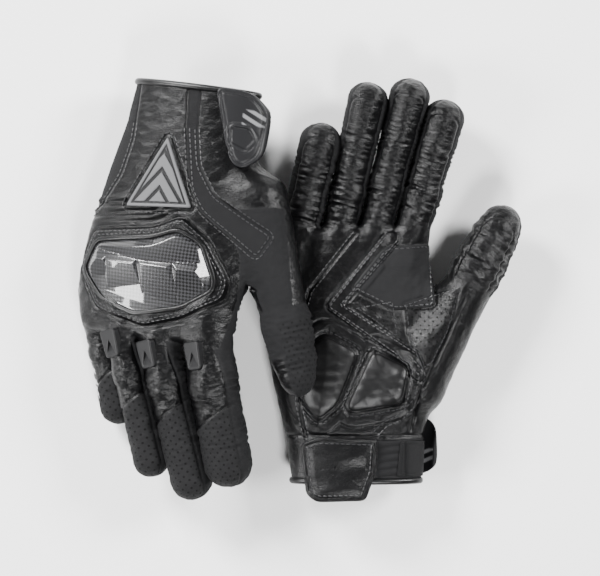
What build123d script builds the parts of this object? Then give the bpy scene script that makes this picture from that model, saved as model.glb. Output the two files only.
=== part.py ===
from build123d import *
from math import cos, radians, sin
import os

# A pair of short-cuff leather riding gloves, lying on a table as they are laid out for sale.
# Both are right-hand gloves of one pattern. The under glove lies on its back, palm up, fingers to +Y.
# The over glove lies palm down with its fingers to -Y, rolled with its thumb side up,
# and its thumb rests just above the under glove's palm.
# Units are millimetres. Each glove is modelled in a hand frame (X to the little finger,
# Y from the wrist seam to the fingertips, Z out of the back of the hand) and then placed.

# ---------------------------------------------------------------- driving dimensions
LEATHER = 1.6            # wall of the glove: leather with its facing
LINING = 0.8             # loose inner lining
CLEARANCE = 0.1          # between pieces that are sewn or bonded face to face
BODY_GAP = 0.6           # slit between two pieces that move against each other
HINGE_OUT = 0.3          # how far outside the skin a knuckle's hinge line runs
SEAM_HEIGHT = 0.05       # half of the seam between the back and the palm

CUFF_LENGTH = 22.0       # elastic cuff below the wrist seam
BINDING_LENGTH = 3.4     # binding sewn round the cuff's mouth
BINDING_OUT = 0.8
CUFF_IN = 0.4            # the elastic cuff lies this much inside the leather's surface

GUARD_PAD = 2.9          # foam between the back and the hard knuckle guard
GUARD_SHELL = 2.3        # moulded guard
GUARD_FLAT_Z = 18.8      # the guard's flat crown, above the hand's middle plane
BEZEL_WIDTH = 5.0        # padded leather frame round the guard
BEZEL_HEIGHT = 2.0
BADGE_HEIGHT = 1.8
HEEL_PAD_HEIGHT = 3.0
REINFORCEMENT = 1.2
SLIDER_WIDTH = 10.5
SLIDER_LENGTH = 16.0
SLIDER_HEIGHT = 3.4
SLIDER_BACK = 9.0        # how far a slider's tip end lies back from the finger joint
SLIDER_ROLLS = {"under": 0.0, "over": 22.0}  # degrees that sliders turn to the little finger's side
STRAP_LOW = 1.4          # the strap tab lies between these two heights over the skin
STRAP_HIGH = 3.6
ANCHOR_HIGH = 1.2
TAB_LOW = 1.0            # leather pull tab on the palm side of the cuff
TAB_HIGH = 2.2

# Hand sections: station along the hand, centre, half width, half depth.
HAND_SECTIONS = [
    (-38.0, -1.0, 36.5, 14.2),
    (-24.0, -1.0, 37.0, 14.5),
    (0.0, 0.0, 39.0, 15.0),
    (25.0, 1.0, 44.0, 15.5),
    (55.0, 3.0, 48.0, 15.5),
    (88.0, 6.0, 49.0, 14.5),
    (112.0, 4.5, 46.5, 12.0),
    (122.0, 3.5, 43.0, 8.0),
]

# Outlines on the back of the hand and on the palm, seen along the hand frame's Z.
GUARD_OUTLINE = [(48, 83), (43, 70), (28, 67.5), (8, 64.5), (-7, 58.5), (-21, 64),
                 (-29.5, 82), (-30, 88.5), (-14, 100), (13, 107), (34.5, 101), (47.5, 88)]
BADGE_OUTLINE = [(7, 6.5), (27, 48), (-12.5, 44.5)]
RADIAL_STRIP = [(-2, 0), (-10, 34), (-18, 46), (-52, 66), (-58, 52), (-24, 36), (-13, 20), (-10, 0)]
ULNAR_STRIP = [(29, 0), (29, 16), (40, 40), (60, 52), (60, 36), (44, 18), (42, 0)]
HEEL_PAD_OUTER = [(22.8, 54), (12.5, 58), (-1.8, 50), (11.4, 22.8), (19.9, 11.4)]
HEEL_PAD_THUMB = [(-9.7, 51), (-28.6, 41), (-25.7, 20), (2.8, 16), (5.7, 20)]
PALM_STRIP = [(-20, 116), (25, 80), (-9, 55), (-36, 42), (-40, 50), (12, 80), (-28, 110)]
STRAP_OUTLINE = [(-17, -25), (-26.5, 5), (-30, 13), (-38, 20), (-60, 20), (-60, -15), (-50, -25)]
ANCHOR_OUTLINE = [(-24, -21), (-26, -1), (-60, -1), (-60, -21)]
PULL_TAB_OUTLINES = {
    "under": [(-13, -2), (-13, -20), (-4, -33), (20, -36), (33, -30), (33, -2)],
    "over": [(-13, -2), (-13, -16), (-6, -24), (18, -25.5), (33, -22), (33, -2)],
}
OUTLINE_RADIUS = 2.5
REACH = 60.0             # prisms and slabs that cut a form run this far past it

# Digits: root in the hand frame, lean towards the thumb, pitch towards the palm, root to knuckle,
# knuckle to tip, half width and half depth at the knuckle, share of them left near the tip, and
# the bend at rest. A thumb bends towards the fingers and a finger towards the palm.
UNDER_DIGITS = {
    "index": dict(root=(-32.5, 118.5, 0), lean=15.9, pitch=0, base=23, tip=54, wide=9.9, deep=11.6,
                  taper=0.92, bend=7),
    "middle": dict(root=(-11.5, 118.5, 0), lean=14.4, pitch=0, base=26, tip=63, wide=9.4, deep=11.8,
                   taper=0.95, bend=7),
    "ring": dict(root=(8.9, 118.5, 0), lean=12.2, pitch=0, base=24, tip=62, wide=9.5, deep=11.6,
                 taper=0.95, bend=8),
    "little": dict(root=(32.5, 116, 0), lean=13.5, pitch=0, base=17, tip=48, wide=10.6, deep=11.0,
                   taper=0.92, bend=9),
    "thumb": dict(root=(-39.9, 39.9, -4), lean=27.9, pitch=0, base=70, tip=35, wide=14.2, deep=13.6,
                  taper=0.84, bend=0),
}
OVER_DIGITS = {
    "index": dict(root=(-27, 118, 0), lean=15.4, pitch=2, base=24, tip=57, wide=12.4, deep=12.0,
                  taper=0.84, bend=13),
    "middle": dict(root=(1.2, 119, 0), lean=18.4, pitch=2, base=26, tip=67, wide=11.2, deep=11.8,
                   taper=0.88, bend=11),
    "ring": dict(root=(23.3, 118, 0.6), lean=18.4, pitch=2, base=24, tip=60, wide=9.4, deep=11.0,
                 taper=0.95, bend=9),
    "little": dict(root=(38.8, 116, -12.4), lean=11.4, pitch=0, base=17, tip=41, wide=8.7, deep=9.2,
                   taper=0.95, bend=4),
    "thumb": dict(root=(-48, 42, -5), lean=19.5, pitch=5, base=70, tip=35, wide=14.0, deep=13.4,
                  taper=0.86, bend=0),
}
SLIDER_DIGITS = ("index", "middle", "ring")
FINGER_IN_HAND = 22.0    # how far a finger's form starts back inside the hand
THUMB_IN_HAND = 12.0
DOME_ANGLES = (0, 20, 38, 54, 68)  # latitudes of the rings that shape a digit's rounded tip
THUMB_ROOT_SHARE = 1.12  # the thumb is fuller at its root than at its knuckle

UNDER_PLACE = Plane(origin=(31.73, -85.41, GUARD_FLAT_Z), x_dir=(-1, 0, 0), z_dir=(0, 0, -1))
OVER_HEADING = 8.0       # degrees that the over glove's fingers point left of -Y
OVER_ROLL = 18.0         # degrees that its thumb side is raised
OVER_ORIGIN = (-61.57, 91.19, 34.5)


def over_plane():
    """The over glove's hand frame: turned palm down, then rolled about its own long axis."""
    across = Vector(-cos(radians(OVER_HEADING)), sin(radians(OVER_HEADING)), 0)
    up = Vector(0, 0, 1)
    roll = radians(OVER_ROLL)
    x_dir = across * cos(roll) - up * sin(roll)
    z_dir = up * cos(roll) + across * sin(roll)
    return Plane(origin=OVER_ORIGIN, x_dir=x_dir, z_dir=z_dir)


GLOVES = {
    "under": (UNDER_PLACE, UNDER_DIGITS),
    "over": (over_plane(), OVER_DIGITS),
}


# ---------------------------------------------------------------- forms that the pieces are cut from
hand_forms = {}


def hand_form(grow):
    """The closed form of the hand and cuff, grown outwards by a distance."""
    if grow not in hand_forms:
        last = len(HAND_SECTIONS) - 1
        with BuildPart() as form:
            for number, (station, centre, half_width, half_depth) in enumerate(HAND_SECTIONS):
                reach = station + grow if number == last else station
                with BuildSketch(Plane(origin=(centre, reach, 0), x_dir=(1, 0, 0), z_dir=(0, 1, 0))):
                    Ellipse(half_width + grow, half_depth + grow)
            loft()
        hand_forms[grow] = form.part
    return hand_forms[grow]


def slab(y_from, y_to, z_from=-REACH, z_to=REACH):
    """A block across the whole hand between two stations and two heights."""
    with BuildPart() as block:
        with BuildSketch(Plane.XY.offset(z_from)):
            with Locations((0, (y_from + y_to) / 2)):
                Rectangle(4 * REACH, y_to - y_from)
        extrude(amount=z_to - z_from)
    return block.part


def prism(outline, on_back, grow=0.0, z_near=SEAM_HEIGHT):
    """An outline drawn on the hand's middle plane and raised through the back or the palm."""
    height = REACH if on_back else -REACH
    start = z_near if on_back else -z_near
    with BuildPart() as block:
        with BuildSketch(Plane.XY.offset(start)) as face:
            with BuildLine():
                Polyline(*outline, close=True)
            make_face()
            fillet(face.vertices(), OUTLINE_RADIUS)
            if grow:
                offset(amount=grow)
        extrude(amount=height)
    return block.part


def layer(outline, on_back, low, high):
    """A piece of even thickness that lies on the hand between two heights over the skin."""
    with BuildPart() as piece:
        add(hand_form(high))
        add(hand_form(low), mode=Mode.SUBTRACT)
        add(prism(outline, on_back), mode=Mode.INTERSECT)
    return piece.part


def digit_place(digit):
    """Location of the digit's root: Z along the digit, X across it, Y towards the palm."""
    lean, pitch = radians(digit["lean"]), radians(digit["pitch"])
    along = Vector(-sin(lean) * cos(pitch), cos(lean) * cos(pitch), -sin(pitch))
    across = Vector(cos(lean), sin(lean), 0)
    return Plane(origin=digit["root"], x_dir=across, z_dir=along).location


def knuckle_point(name, digit):
    """The hinge line's point in the digit's own place: just outside the skin, inside of the bend."""
    if name == "thumb":
        return (digit["wide"] + HINGE_OUT, 0, digit["base"])
    return (0, digit["deep"] + HINGE_OUT, digit["base"])


def knuckle_place(name, digit, share):
    """Location at the hinge line, turned by a share of the digit's bend at rest."""
    bend = digit["bend"] * share
    turn = (0, bend, 0) if name == "thumb" else (-bend, 0, 0)
    return digit_place(digit) * Location(knuckle_point(name, digit)) * Location((0, 0, 0), turn)


def base_form(name, digit, grow):
    """The digit from inside the hand to past its knuckle."""
    root_share = THUMB_ROOT_SHARE if name == "thumb" else 1.0
    start = -THUMB_IN_HAND if name == "thumb" else -FINGER_IN_HAND
    end = digit["base"] + digit["deep"]
    place = digit_place(digit)
    with BuildPart() as form:
        for station, share in ((start, root_share), ((start + digit["base"]) / 2, root_share),
                               (digit["base"], 1.0), (end, 1.0)):
            with BuildSketch(Plane(place * Location((0, 0, station)))):
                Ellipse(digit["wide"] * share + grow, digit["deep"] * share + grow)
        loft()
    return form.part


def tip_form(name, digit, grow):
    """The digit from before its knuckle to its domed tip, turned by the bend at rest."""
    x, y, z = knuckle_point(name, digit)
    place = knuckle_place(name, digit, 1.0) * Location((-x, -y, -z))
    tip = digit["base"] + digit["tip"] + grow
    radius = digit["wide"]
    stations = [(digit["base"] - radius / 2, 1.0), (digit["base"] + digit["tip"] / 3, 1.0)]
    for angle in DOME_ANGLES:
        stations.append((tip - radius * (1 - sin(radians(angle))), cos(radians(angle)) * digit["taper"]))
    with BuildPart() as form:
        for station, share in stations:
            with BuildSketch(Plane(place * Location((0, 0, station)))):
                Ellipse((digit["wide"] + grow) * share, (digit["deep"] + grow) * share)
        loft(ruled=True)
    return form.part


def finish(piece, glove, name):
    """Move a finished piece from the hand frame to its place and write its file."""
    placed = piece.part.moved(GLOVES[glove][0].location)
    placed.label = f"{glove}_{name}"
    export_step(placed, f"parts/{placed.label}.step")


# ---------------------------------------------------------------- the pieces of one glove
def make_hand(glove, digits):
    """Palm, back, the two stretch strips let into the back, and the lining."""
    with BuildPart() as shell:
        add(hand_form(0))
        add(hand_form(-LEATHER), mode=Mode.SUBTRACT)
        add(slab(CLEARANCE, 2 * REACH + 20), mode=Mode.INTERSECT)
        for name, digit in digits.items():
            add(base_form(name, digit, CLEARANCE), mode=Mode.SUBTRACT)

    with BuildPart() as palm_panel:
        add(shell.part)
        add(slab(-REACH, 3 * REACH, -REACH, -SEAM_HEIGHT), mode=Mode.INTERSECT)
    finish(palm_panel, glove, "palm_panel")

    with BuildPart() as back_panel:
        add(shell.part)
        add(slab(-REACH, 3 * REACH, SEAM_HEIGHT, REACH), mode=Mode.INTERSECT)
        add(prism(RADIAL_STRIP, True, z_near=0), mode=Mode.SUBTRACT)
        add(prism(ULNAR_STRIP, True, z_near=0), mode=Mode.SUBTRACT)
    finish(back_panel, glove, "back_panel")

    for name, outline in (("radial_stretch_strip", RADIAL_STRIP), ("ulnar_stretch_strip", ULNAR_STRIP)):
        with BuildPart() as strip:
            add(shell.part)
            add(prism(outline, True, grow=-CLEARANCE), mode=Mode.INTERSECT)
        finish(strip, glove, name)

    with BuildPart() as hand_liner:
        add(hand_form(-LEATHER - CLEARANCE))
        add(hand_form(-LEATHER - CLEARANCE - LINING), mode=Mode.SUBTRACT)
        add(slab(CLEARANCE, 2 * REACH + 20), mode=Mode.INTERSECT)
        for name, digit in digits.items():
            add(base_form(name, digit, CLEARANCE), mode=Mode.SUBTRACT)
    finish(hand_liner, glove, "hand_liner")


def make_digits(glove, digits):
    """Each digit is two tubes that part at the knuckle."""
    for name, digit in digits.items():
        knuckle = Plane(knuckle_place(name, digit, 0.5))

        with BuildPart() as base:
            add(base_form(name, digit, 0))
            add(base_form(name, digit, -LEATHER), mode=Mode.SUBTRACT)
            add(hand_form(-LEATHER - CLEARANCE - LINING), mode=Mode.SUBTRACT)
            split(bisect_by=knuckle.offset(-BODY_GAP / 2), keep=Keep.BOTTOM)
        finish(base, glove, f"{name}_base")

        with BuildPart() as tip:
            add(tip_form(name, digit, 0))
            add(tip_form(name, digit, -LEATHER), mode=Mode.SUBTRACT)
            split(bisect_by=knuckle.offset(BODY_GAP / 2), keep=Keep.TOP)
        finish(tip, glove, f"{name}_tip")


def make_cuff(glove):
    """Elastic cuff, the binding round its mouth and the leather pull tab."""
    with BuildPart() as wrist_cuff:
        add(hand_form(-CUFF_IN))
        add(hand_form(-CUFF_IN - LEATHER), mode=Mode.SUBTRACT)
        add(slab(-CUFF_LENGTH, 0), mode=Mode.INTERSECT)
    finish(wrist_cuff, glove, "wrist_cuff")

    with BuildPart() as cuff_binding:
        add(hand_form(BINDING_OUT))
        add(hand_form(-CUFF_IN - LEATHER - CLEARANCE), mode=Mode.SUBTRACT)
        add(slab(-CUFF_LENGTH - CLEARANCE - BINDING_LENGTH, -CUFF_LENGTH - CLEARANCE), mode=Mode.INTERSECT)
    finish(cuff_binding, glove, "cuff_binding")

    with BuildPart() as pull_tab:
        add(layer(PULL_TAB_OUTLINES[glove], False, TAB_LOW, TAB_HIGH))
    finish(pull_tab, glove, "pull_tab")


def make_guard(glove):
    """Foam pad, moulded knuckle guard with a flat crown, and the padded frame round it."""
    with BuildPart() as knuckle_pad:
        add(layer(GUARD_OUTLINE, True, CLEARANCE, GUARD_PAD))
        for name, digit in GLOVES[glove][1].items():
            add(base_form(name, digit, CLEARANCE), mode=Mode.SUBTRACT)
    finish(knuckle_pad, glove, "knuckle_pad")

    guard_low = GUARD_PAD + CLEARANCE
    with BuildPart() as knuckle_guard:
        add(layer(GUARD_OUTLINE, True, guard_low, guard_low + GUARD_SHELL))
        add(slab(0, 2 * REACH, 0, GUARD_FLAT_Z), mode=Mode.INTERSECT)
    finish(knuckle_guard, glove, "knuckle_guard")

    with BuildPart() as guard_bezel:
        add(hand_form(BEZEL_HEIGHT))
        add(hand_form(CLEARANCE), mode=Mode.SUBTRACT)
        add(prism(GUARD_OUTLINE, True, grow=BEZEL_WIDTH), mode=Mode.INTERSECT)
        add(prism(GUARD_OUTLINE, True, grow=2 * CLEARANCE, z_near=0), mode=Mode.SUBTRACT)
        for name, digit in GLOVES[glove][1].items():
            add(base_form(name, digit, CLEARANCE), mode=Mode.SUBTRACT)
    finish(guard_bezel, glove, "guard_bezel")


def make_patches(glove):
    """Badge on the back, and on the palm the two heel pads and the sewn strip between the panels."""
    patches = (
        ("back_badge", BADGE_OUTLINE, True, BADGE_HEIGHT),
        ("heel_pad_outer", HEEL_PAD_OUTER, False, HEEL_PAD_HEIGHT),
        ("heel_pad_thumb", HEEL_PAD_THUMB, False, HEEL_PAD_HEIGHT),
        ("palm_reinforcement", PALM_STRIP, False, REINFORCEMENT),
    )
    for name, outline, on_back, height in patches:
        with BuildPart() as patch:
            add(layer(outline, on_back, CLEARANCE, height))
            for digit_name, digit in GLOVES[glove][1].items():
                add(base_form(digit_name, digit, CLEARANCE), mode=Mode.SUBTRACT)
        finish(patch, glove, name)


def make_strap(glove):
    """The moulded strap tab over the back of the wrist and its anchor on the palm side."""
    with BuildPart() as strap_tab:
        add(layer(STRAP_OUTLINE, True, STRAP_LOW, STRAP_HIGH))
        add(slab(-REACH, REACH, 2.0, REACH), mode=Mode.INTERSECT)
    finish(strap_tab, glove, "strap_tab")

    with BuildPart() as strap_anchor:
        add(layer(ANCHOR_OUTLINE, False, CLEARANCE, ANCHOR_HIGH))
    finish(strap_anchor, glove, "strap_anchor")


def make_sliders(glove, digits):
    """Hard sliders on the backs of three fingers, between the knuckle guard and the finger joint."""
    for name in SLIDER_DIGITS:
        digit = digits[name]
        middle = digit["base"] - SLIDER_LENGTH / 2 - SLIDER_BACK
        top = digit["deep"] + SLIDER_HEIGHT
        place = digit_place(digit) * Location((0, 0, 0), (0, 0, SLIDER_ROLLS[glove])) * Location((0, -top, middle))
        with BuildPart() as slider:
            with BuildSketch(Plane(place * Location((0, 0, 0), (90, 0, 0)))) as face:
                Rectangle(SLIDER_WIDTH, SLIDER_LENGTH)
                fillet(face.vertices(), OUTLINE_RADIUS)
            extrude(amount=-SLIDER_HEIGHT - 3, taper=-8)
            add(base_form(name, digit, CLEARANCE), mode=Mode.SUBTRACT)
            add(hand_form(BEZEL_HEIGHT + CLEARANCE), mode=Mode.SUBTRACT)
        finish(slider, glove, f"{name}_slider")


os.makedirs("parts", exist_ok=True)
for glove_name, (_, glove_digits) in GLOVES.items():
    make_hand(glove_name, glove_digits)
    make_digits(glove_name, glove_digits)
    make_cuff(glove_name)
    make_guard(glove_name)
    make_patches(glove_name)
    make_strap(glove_name)
    make_sliders(glove_name, glove_digits)
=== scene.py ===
# %% [markdown]
# # A pair of leather riding gloves
# The gloves are sewn from goat leather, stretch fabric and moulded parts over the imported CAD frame.
# Every soft piece starts as a distance field in millimetres, is meshed from a grid, and is then placed
# in the frame. A field makes seams, pads and wrinkles part of one skin, which loose polygons do not.

# %% Load the frame
import math

import bmesh
import bpy
import numpy as np
import openvdb
from mathutils import Matrix, Vector
from mathutils.bvhtree import BVHTree


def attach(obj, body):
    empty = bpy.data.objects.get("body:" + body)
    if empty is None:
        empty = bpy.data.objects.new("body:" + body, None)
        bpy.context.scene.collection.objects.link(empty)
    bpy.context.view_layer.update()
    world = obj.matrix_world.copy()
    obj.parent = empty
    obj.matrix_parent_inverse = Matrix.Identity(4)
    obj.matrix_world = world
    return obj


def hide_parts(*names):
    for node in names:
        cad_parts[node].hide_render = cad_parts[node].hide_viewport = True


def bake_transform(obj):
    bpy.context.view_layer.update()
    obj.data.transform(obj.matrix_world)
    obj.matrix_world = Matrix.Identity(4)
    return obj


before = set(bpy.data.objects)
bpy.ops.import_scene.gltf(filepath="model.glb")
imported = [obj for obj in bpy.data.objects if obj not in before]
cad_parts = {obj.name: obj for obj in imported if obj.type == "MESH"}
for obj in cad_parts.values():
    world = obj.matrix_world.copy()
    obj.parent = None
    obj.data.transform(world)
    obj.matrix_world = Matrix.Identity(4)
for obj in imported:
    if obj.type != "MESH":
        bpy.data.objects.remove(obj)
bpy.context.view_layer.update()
MM = 0.001
VOXEL = 0.62      # grid step of the skins, mm
HAND_VOXEL = 0.67  # a hand is the largest piece, mm
FINE = 0.5        # grid step of small sewn and moulded pieces, mm

print("CAD nodes", len(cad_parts), "grid steps in mm", VOXEL, FINE)

# %% [markdown]
# ## The pattern
# The hand frame has X to the little finger, Y from the wrist seam to the fingertips and Z out of the
# back of the hand. These are the same sizes as the CAD model, with the outlines of what is sewn on.

# %% Hand and digit sizes
HAND_SECTIONS = np.array([
    (-38, -1, 36.5, 14.2), (-24, -1, 37, 14.5), (0, 0, 39, 15), (25, 1, 44, 15.5),
    (55, 3, 48, 15.5), (88, 6, 49, 14.5), (112, 4.5, 46.5, 12.5), (123, 3.5, 43, 11), (140, 3, 41, 10)], float)
HAND_END = 121.0
KEYS = ("x", "y", "z", "lean", "pitch", "base", "tip", "wide", "deep", "taper", "bend")
UNDER_DIGITS = {
    "index": (-32.5, 118.5, 0, 15.9, 0, 23, 54, 9.9, 11.6, 0.92, 7),
    "middle": (-11.5, 118.5, 0, 14.4, 0, 26, 63, 9.4, 11.8, 0.95, 7),
    "ring": (8.9, 118.5, 0, 12.2, 0, 24, 62, 9.5, 11.6, 0.95, 8),
    "little": (32.5, 116, 0, 13.5, 0, 17, 48, 10.6, 11.0, 0.92, 9),
    "thumb": (-39.9, 39.9, -4, 27.9, 0, 70, 35, 14.2, 13.6, 0.84, 0),
}
OVER_DIGITS = {
    "index": (-28.5, 118, 0, 14.4, 2, 24, 57, 13.2, 12.4, 0.84, 13),
    "middle": (1.2, 119, 0, 18.4, 2, 26, 67, 11.2, 11.8, 0.88, 11),
    "ring": (23.3, 118, 0.6, 18.4, 2, 24, 60, 9.4, 11.0, 0.95, 9),
    "little": (43.4, 114, -12.0, 20.5, 0, 19, 42, 9.4, 9.6, 0.95, 4),
    "thumb": (-48, 42, -5, 19.5, 5, 70, 35, 14.0, 13.4, 0.86, 0),
}
FINGERS = ("index", "middle", "ring", "little")
HINGE_OUT = 0.3
THUMB_CUT = 54.0        # where the thumb's skin leaves the hand's, along the thumb
ROLL = {"under": 0.0, "over": math.radians(22)}   # how far a finger's seams and slider turn to the little finger
FULLER = {"under": {"index": 1.16, "middle": 1.2, "ring": 1.2, "little": 1.12, "thumb": 0.88},
          "over": {"index": 1.04, "middle": 1.06, "ring": 1.08, "little": 1.15, "thumb": 0.76}}  # tip share over root share
FINGER_CUT = 120.5      # where the fingers' skins leave the hand's

GUARD = [(48, 83), (43, 70), (28, 67.5), (8, 64.5), (-7, 58.5), (-21, 64), (-29.5, 82),
         (-30, 88.5), (-14, 100), (13, 107), (34.5, 101), (47.5, 88)]
BEZEL = [(53, 86), (47, 64), (28, 61), (8, 58), (-8, 50), (-24, 61), (-38, 82), (-36.5, 93),
         (-16, 106), (7, 114), (38, 107.5)]
BADGE = [(7, 6.5), (27, 48), (-12.5, 44.5)]
RADIAL_STRIP = [(0, -30), (-3, 0), (-10, 34), (-18, 46), (-52, 68), (-60, 54), (-24, 36), (-13, 20), (-9, 0), (-7, -30)]
ULNAR_STRIP = [(31, -30), (30, 10), (34, 30), (46, 52), (62, 60), (62, 36), (46, 18), (44, -30)]
HEEL_OUTER = [(30, 50), (17, 61), (-2.5, 50), (9, 20), (21, 10), (31, 22)]
HEEL_THUMB = [(-10, 52), (-31, 42), (-27, 20), (2.5, 15), (5.5, 20)]
PALM_STRIP = [(-21, 115), (11.5, 76.5), (-33, 46.5), (-36, 38)]
PALM_BAR = [(-15, 99), (3, 77.5), (-12, 69)]
WEB_PATCH = [(-17, 110), (-44, 112), (-46, 76), (-22, 74), (2, 86)]
PERFORATED = [(0, 75), (-22, 80), (-24, 58)]
THUMB_PERFORATED = [(-28, 78), (-60, 88), (-54, 62), (-45, 44), (-37, 40), (-30, 58)]
THUMB_SEAM = [(-68, 92), (-55, 64.5), (-45, 42), (-35, 21), (-32, 5)]
THUMB_BACK = [(-24, 46), (-36, 57), (-43, 67), (-43, 90), (-37, 130), (-80, 130), (-80, 36), (-56, 38)]
BACK_PERFORATED = [(-11, -22), (-15, 18), (-26, 34), (-46, 46), (-48, 30), (-28, 14), (-22, -22)]
BACK_PERFORATED_LOW = [(-3, 16), (-12, 40), (-24, 52), (-34, 62), (-22, 54), (-12, 48)]
HEEL_BORDER = [(-31, 46), (-38, 37), (-35, 23), (-26, 13), (-17, 9), (-11, 3)]
PALM_SEAM = [(0, 117), (26, 85), (33, 60), (32, 20), (28, 2)]
STRAPS = {
    "over": [(-17, -25), (-26.5, 5), (-31, 16), (-38, 19.5), (-47, 12), (-48, -14), (-40, -23), (-30, -25)],
    "under": [(-17, -22), (-26, 5), (-31, 12), (-40, 13), (-47, 8), (-48, -14), (-42, -20), (-30, -22)],
}
ANCHOR = [(-24, -21), (-26, -1), (-60, -1), (-60, -21)]
PULL_TABS = {
    "under": [(-13, 1), (-12, -18), (-6, -34.5), (22, -35.5), (28, -31), (31, -2), (20, 2)],
    "over": [(-13, -2), (-13, -16), (-6, -24), (18, -25.5), (33, -22), (33, -2)],
}


def axes(origin, x_dir, z_dir):
    """A 4x4 placement from an origin, an X direction and a Z direction."""
    x, z = Vector(x_dir).normalized(), Vector(z_dir).normalized()
    y = z.cross(x)
    return np.array([[x[i], y[i], z[i], origin[i]] for i in range(3)] + [[0, 0, 0, 1]], float)


OVER_HEADING, OVER_ROLL = math.radians(8), math.radians(18)
across = Vector((-math.cos(OVER_HEADING), math.sin(OVER_HEADING), 0))
up = Vector((0, 0, 1))
GLOVES = {
    "under": (axes((31.73, -85.41, 18.8), (-1, 0, 0), (0, 0, -1)), UNDER_DIGITS),
    "over": (axes((-61.57, 91.19, 34.5), across * math.cos(OVER_ROLL) - up * math.sin(OVER_ROLL),
                  up * math.cos(OVER_ROLL) + across * math.sin(OVER_ROLL)), OVER_DIGITS),
}


def digit_of(glove, name):
    """A digit's sizes. Worn leather is fuller near the tip than the form under it."""
    return dict(zip(KEYS, GLOVES[glove][1][name])) | {"taper": FULLER[glove][name], "roll": ROLL[glove]}


def digit_axes(d):
    lean, pitch = math.radians(d["lean"]), math.radians(d["pitch"])
    along = (-math.sin(lean) * math.cos(pitch), math.cos(lean) * math.cos(pitch), -math.sin(pitch))
    return axes((d["x"], d["y"], d["z"]), (math.cos(lean), math.sin(lean), 0), along)


def knuckle(name, d):
    """The hinge point in the digit's own axes, and the turn at rest about it."""
    if name == "thumb":
        return np.array([d["wide"] + HINGE_OUT, 0, d["base"]]), Matrix.Rotation(math.radians(d["bend"]), 4, "Y")
    return np.array([0, d["deep"] + HINGE_OUT, d["base"]]), Matrix.Rotation(-math.radians(d["bend"]), 4, "X")


def bent_axes(name, d):
    point, turn = knuckle(name, d)
    shift = np.eye(4)
    shift[:3, 3] = point
    back = np.eye(4)
    back[:3, 3] = -point
    return digit_axes(d) @ shift @ np.array(turn) @ back

print("digits a glove", {glove: len(GLOVES[glove][1]) for glove in GLOVES})

# %% [markdown]
# ## Distance fields
# An ellipse's distance is estimated from two scaled lengths. A smooth minimum joins digits to the hand
# the way stretched leather bridges them.

# %% Fields of the hand and the digits
def smooth_min(a, b, reach):
    h = np.clip(0.5 + 0.5 * (b - a) / reach, 0, 1)
    return b + (a - b) * h - reach * h * (1 - h)


def smooth_max(a, b, reach):
    return -smooth_min(-a, -b, reach)


def step(low, high, value):
    t = np.clip((value - low) / (high - low), 0, 1)
    return t * t * (3 - 2 * t)


STATIONS = np.arange(-38, 140.5, 0.5)


def smooth_section(column):
    table = np.interp(STATIONS, HAND_SECTIONS[:, 0], HAND_SECTIONS[:, column])
    kernel = np.hanning(41)
    padded = np.pad(table, 20, mode="edge")
    return np.convolve(padded, kernel / kernel.sum(), mode="valid")


SECTION = {column: smooth_section(column) for column in (1, 2, 3)}


def section(y):
    return [np.interp(y, STATIONS, SECTION[column]) for column in (1, 2, 3)]


def hand_field(x, y, z):
    centre, wide, deep = section(y)
    k0 = np.sqrt(((x - centre) / wide) ** 2 + (z / deep) ** 2) + 1e-6
    k1 = np.sqrt(((x - centre) / wide ** 2) ** 2 + (z / deep ** 2) ** 2) + 1e-6
    side = k0 * (k0 - 1) / k1
    return smooth_max(side, y - HAND_END, 6.0)


def to_local(matrix, x, y, z):
    inverse = np.linalg.inv(matrix)
    return [inverse[i, 0] * x + inverse[i, 1] * y + inverse[i, 2] * z + inverse[i, 3] for i in range(3)]


def tube(x, y, s, d, start, end, root=1.0):
    """A tapered tube of oval section with rounded ends, along s."""
    share = np.interp(s, [start, d["base"] * 0.5, d["base"] + d["tip"] * 0.45, d["base"] + d["tip"] - d["wide"]],
                      [root, 1, 0.5 + 0.5 * d["taper"], d["taper"]])
    wide, deep = d["wide"] * share, d["deep"] * share
    dome = np.maximum(s - (end - d["wide"] * 1.05), 0) - np.maximum(start + 8 - s, 0)
    k0 = np.sqrt((x / wide) ** 2 + (y / deep) ** 2 + (dome / (d["wide"] * 1.05)) ** 2) + 1e-6
    k1 = np.sqrt((x / wide ** 2) ** 2 + (y / deep ** 2) ** 2 + (dome / (d["wide"] * 1.05) ** 2) ** 2) + 1e-6
    return k0 * (k0 - 1) / k1


def digit_field(name, d, x, y, z):
    bx, by, bs = to_local(digit_axes(d), x, y, z)
    tx, ty, ts = to_local(bent_axes(name, d), x, y, z)
    start = -16 if name == "thumb" else -24
    root = 1.18 if name == "thumb" else 1.0
    base = tube(bx, by, bs, d, start, d["base"] + d["wide"] * 0.9, root)
    tip = tube(tx, ty, ts, d, d["base"] - d["wide"] * 0.9, d["base"] + d["tip"])
    turn = 0.0 if name == "thumb" else d["roll"]
    bx, by = bx * math.cos(turn) + by * math.sin(turn), by * math.cos(turn) - bx * math.sin(turn)
    tx, ty = tx * math.cos(turn) + ty * math.sin(turn), ty * math.cos(turn) - tx * math.sin(turn)
    return smooth_min(base, tip, 4.0), (bx, by, bs, tx, ty, ts)

print("hand sections", len(HAND_SECTIONS))

# %% [markdown]
# ## Noise and outlines
# Sewn pieces have a drawn outline, so a piece is described by its distance to that outline. Wrinkles come from
# sums of sine waves with fixed seeds. They could be a displacement texture, but a plain function gives the same
# surface in each run and can fade out near a seam.

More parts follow.
